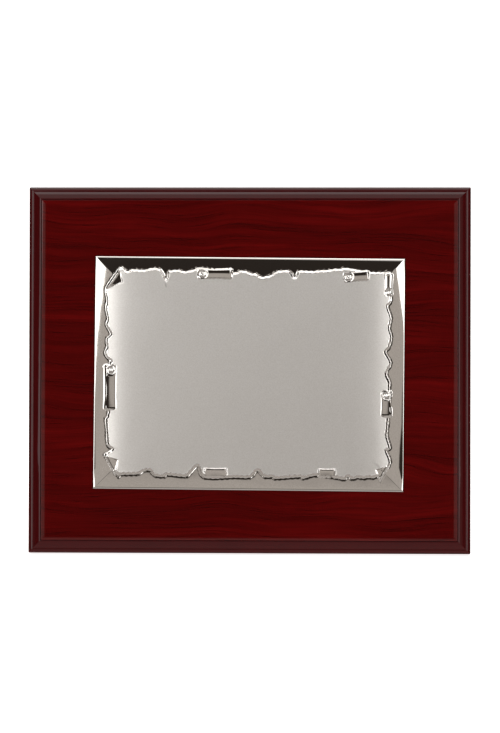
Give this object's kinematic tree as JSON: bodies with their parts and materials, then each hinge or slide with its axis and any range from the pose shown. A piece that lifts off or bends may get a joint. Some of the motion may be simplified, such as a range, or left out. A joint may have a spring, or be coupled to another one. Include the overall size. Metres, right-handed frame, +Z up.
{
  "type": "wooden award plaque",
  "caption": "Rectangular lacquered wooden award plaque with a moulded edge, an embossed torn-parchment metal plate, a folding strut and a toothed wall hanger.",
  "frame": {"origin": "middle of the plaque's outline on the shelf it stands on, at shelf height", "axes": "+X to the right of someone facing the plaque, +Z up, the face looks towards -Y and leans back 12 degrees"},
  "size_m": [0.28, 0.0744, 0.2289],
  "materials": {
    "maroon_lacquer": "high gloss maroon lacquer on fibreboard",
    "grained_panel": "red-brown horizontal wood grain under gloss lacquer",
    "black_felt": "pressed felt",
    "flocked_board": "hard fibreboard with black flock",
    "silvered_plate": "polished border and torn edge, satin field",
    "grey_card": "plain card",
    "foam_tape": "white foam",
    "nickelled_steel": "bright nickel",
    "brassed_steel": "brass plate on steel strip",
    "clear_rubber": "translucent soft rubber"
  },
  "bodies": {
    "plaque": {"board": "maroon_lacquer", "front_panel": "grained_panel", "back_lining": "black_felt", "award_plate": "silvered_plate", "plate_card": "grey_card", "plate_tape_top": "foam_tape", "plate_tape_bottom": "foam_tape", "plate_tape_left": "foam_tape", "plate_tape_right": "foam_tape", "hanger_strip": "brassed_steel", "hanger_nail_left": "brassed_steel", "hanger_nail_right": "brassed_steel", "bumper_left": "clear_rubber", "bumper_right": "clear_rubber", "hinge_fixed_leaf": "nickelled_steel", "hinge_pin": "nickelled_steel", "hinge_screw_1": "nickelled_steel", "hinge_screw_2": "nickelled_steel", "hinge_screw_3": "nickelled_steel", "hinge_screw_4": "nickelled_steel"},
    "strut": {"hinge_moving_leaf": "nickelled_steel", "strut_leg": "flocked_board", "strut_rivet_1": "nickelled_steel", "strut_rivet_2": "nickelled_steel", "strut_rivet_3": "nickelled_steel"}
  },
  "joints": [
    {"name": "strut_fold", "type": "hinge", "parent": "plaque", "child": "strut", "pos_m": [0, 0.01069, 0.14595], "axis": [1, 0, 0], "range_deg": [-22, 0]}
  ]
}
